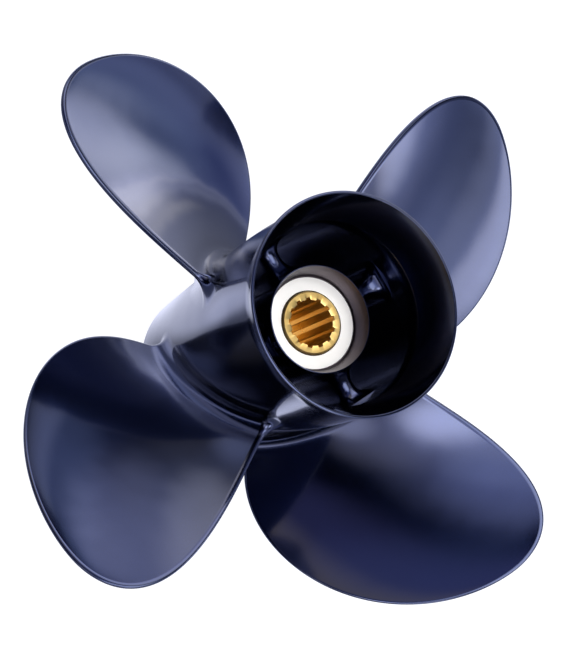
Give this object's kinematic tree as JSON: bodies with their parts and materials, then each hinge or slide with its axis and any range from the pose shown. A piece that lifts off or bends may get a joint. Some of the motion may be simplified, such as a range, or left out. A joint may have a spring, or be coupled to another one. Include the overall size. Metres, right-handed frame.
{
  "type": "outboard boat propeller",
  "caption": "Cast boat propeller with raked, twisted blades on a flared through-hub exhaust barrel, ribbed inner hub, rubber bush and splined brass sleeve.",
  "frame": {"origin": "on the shaft axis, at the front end face of the outer barrel, on which the propeller stands", "axes": "+Z along the shaft axis, from the gearcase end to the exhaust mouth (aft); the ribs lie at 45, 135, 225 and 315 degrees about +Z from +X"},
  "size_m": [0.2578, 0.2578, 0.152],
  "materials": {
    "navy_paint": "semi-gloss navy blue paint on cast aluminium",
    "rubber": "moulded, matt",
    "brass": "machined, satin"
  },
  "bodies": {
    "root": {"outer_barrel": "navy_paint", "inner_hub": "navy_paint", "rib_1": "navy_paint", "rib_2": "navy_paint", "rib_3": "navy_paint", "rib_4": "navy_paint", "blade_1": "navy_paint", "blade_2": "navy_paint", "blade_3": "navy_paint", "blade_4": "navy_paint", "rubber_bush": "rubber", "splined_sleeve": "brass"}
  },
  "joints": []
}
